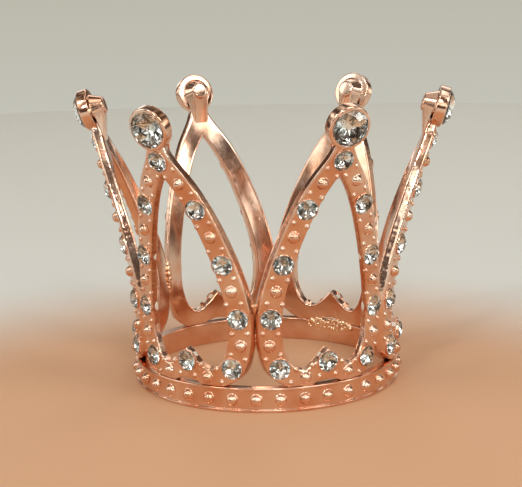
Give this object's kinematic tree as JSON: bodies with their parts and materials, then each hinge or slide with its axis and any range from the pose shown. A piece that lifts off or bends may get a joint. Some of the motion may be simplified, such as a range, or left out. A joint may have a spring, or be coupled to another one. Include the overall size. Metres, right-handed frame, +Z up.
{
  "type": "miniature crown",
  "caption": "Miniature rose-gold crown: a low beaded band with open teardrop points that flare outwards, set with clear rhinestones and tipped with round stone cups.",
  "frame": {"origin": "on the band's axis, at its lower edge", "axes": "+Z up along the crown's axis; a petal stands at +X and every 60 degrees from it, so -Y, the front, lies between two petals"},
  "size_m": [0.0666, 0.0588, 0.0513],
  "materials": {
    "rose_gold": "polished rose-gold plating",
    "crystal": "clear faceted glass with a foil back",
    "glue": "clear set glue",
    "solder": "rough plated solder"
  },
  "bodies": {
    "root": {"base_band": "rose_gold", "petal_1": "rose_gold", "petal_2": "rose_gold", "petal_3": "rose_gold", "petal_4": "rose_gold", "petal_5": "rose_gold", "petal_6": "rose_gold", "tip_setting_1": "rose_gold", "tip_setting_2": "rose_gold", "tip_setting_3": "rose_gold", "tip_setting_4": "rose_gold", "tip_setting_5": "rose_gold", "tip_setting_6": "rose_gold", "large_stone_1": "crystal", "large_stone_2": "crystal", "large_stone_3": "crystal", "large_stone_4": "crystal", "large_stone_5": "crystal", "large_stone_6": "crystal", "small_stones_1": "crystal", "small_stones_2": "crystal", "small_stones_3": "crystal", "small_stones_4": "crystal", "small_stones_5": "crystal", "small_stones_6": "crystal", "stone_glue_1": "glue", "stone_glue_2": "glue", "stone_glue_3": "glue", "stone_glue_4": "glue", "stone_glue_5": "glue", "stone_glue_6": "glue", "tip_glue": "glue", "petal_solder": "solder", "band_seam_solder": "solder"}
  },
  "joints": []
}
